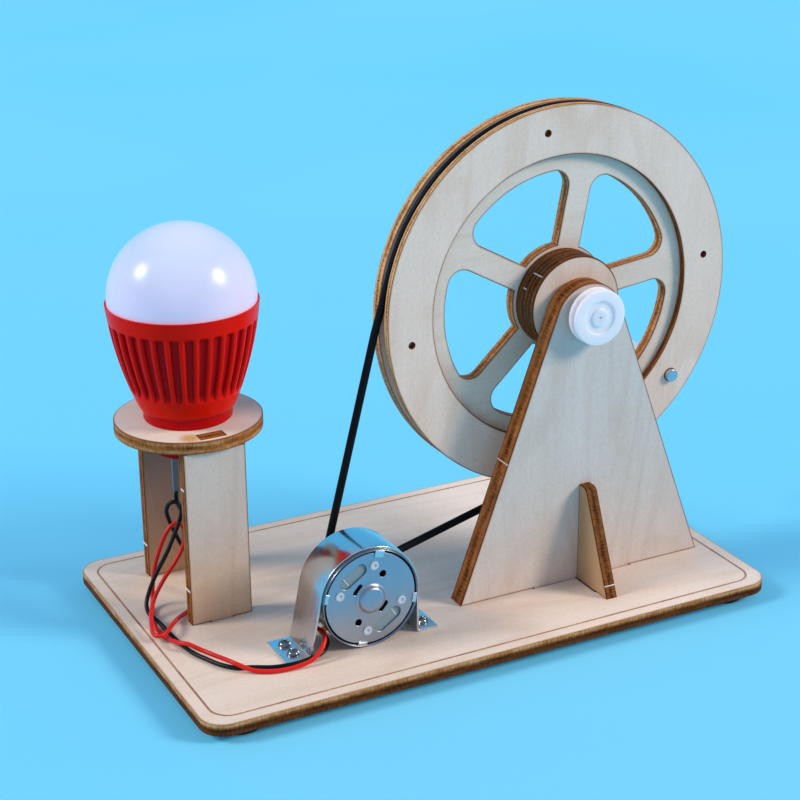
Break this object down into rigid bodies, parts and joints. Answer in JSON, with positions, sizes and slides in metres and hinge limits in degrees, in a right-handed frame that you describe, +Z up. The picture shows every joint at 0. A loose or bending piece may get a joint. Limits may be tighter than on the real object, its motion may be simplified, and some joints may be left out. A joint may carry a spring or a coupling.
{
  "type": "hand crank generator",
  "caption": "Plywood hand crank generator: a spoked wheel turned by a rear grip drives a small motor through a round belt, and the motor's wires feed a lamp on a post stand.",
  "frame": {"origin": "middle of the footprint, wheel overhang included, on the plane that the rubber feet stand on", "axes": "+X along the base board from the lamp to the wheel, +Y from the support plate's side to the back, +Z up"},
  "size_m": [0.157, 0.09, 0.1219],
  "materials": {
    "plywood": "pale birch face, burnt laser-cut edges",
    "hub_plywood": "pale face, dark burnt edge",
    "foot_rubber": "matt black",
    "belt_rubber": "satin black",
    "lamp_red": "glossy translucent red",
    "dome_white": "frosted white, faintly translucent",
    "stop_white": "milky white nylon",
    "motor_steel": "bright plated sheet",
    "cap_steel": "satin plated sheet",
    "bracket_steel": "mirror bright strip",
    "screw_steel": "bright plated",
    "pin_steel": "turned",
    "brush_plastic": "grey-green moulding",
    "rivet_white": "pale upset pegs",
    "contact_brass": "plain",
    "bush_bronze": "sintered bronze",
    "core_iron": "stacked laminations",
    "magnet_ferrite": "ferrite ring",
    "coil_copper": "enamelled copper wire",
    "board_green": "circuit board",
    "chip_yellow": "phosphor chip",
    "leg_steel": "tinned strip",
    "wire_red": "red insulation",
    "wire_black": "black insulation"
  },
  "bodies": {
    "frame": {"base_board": "plywood", "rubber_feet": "foot_rubber", "support_plate": "plywood", "brace_fin": "plywood", "post_front": "plywood", "post_rear": "plywood", "lamp_disc": "plywood", "lamp_body": "lamp_red", "lamp_dome": "dome_white", "lamp_board": "board_green", "lamp_chips": "chip_yellow", "lamp_legs": "leg_steel", "motor_can": "motor_steel", "motor_cap": "cap_steel", "motor_rivets": "rivet_white", "motor_brush_plate": "brush_plastic", "motor_brushes": "contact_brass", "motor_tags": "contact_brass", "motor_magnet": "magnet_ferrite", "motor_bush_front": "bush_bronze", "motor_bush_rear": "bush_bronze", "motor_bracket": "bracket_steel", "bracket_screws": "screw_steel", "drive_belt": "belt_rubber", "wire_red": "wire_red", "wire_black": "wire_black"},
    "wheel": {"wheel_front_ring": "plywood", "wheel_spoked_disc": "plywood", "wheel_back_ring": "plywood", "hub_disc_front": "hub_plywood", "hub_disc_middle": "hub_plywood", "hub_disc_rear": "hub_plywood", "axle": "pin_steel", "axle_stop": "stop_white", "crank_pin": "pin_steel"},
    "rotor": {"motor_shaft": "pin_steel", "rotor_core": "core_iron", "rotor_coils": "coil_copper", "commutator": "contact_brass", "motor_pulley": "stop_white"},
    "grip": {"crank_grip": "stop_white"}
  },
  "joints": [
    {"name": "wheel_spin", "type": "hinge", "parent": "frame", "child": "wheel", "pos_m": [0.03105, -0.0185, 0.0744], "axis": [0, 1, 0], "continuous": true},
    {"name": "rotor_spin", "type": "hinge", "parent": "frame", "child": "rotor", "pos_m": [-0.03097, -0.02, 0.01722], "axis": [0, 1, 0], "continuous": true},
    {"name": "grip_spin", "type": "hinge", "parent": "wheel", "child": "grip", "pos_m": [0.06367, 0.0088, 0.04891], "axis": [0, 1, 0], "continuous": true}
  ],
  "couplings": [
    {"joint": "rotor_spin", "follows": "wheel_spin", "ratio": 12.581}
  ]
}
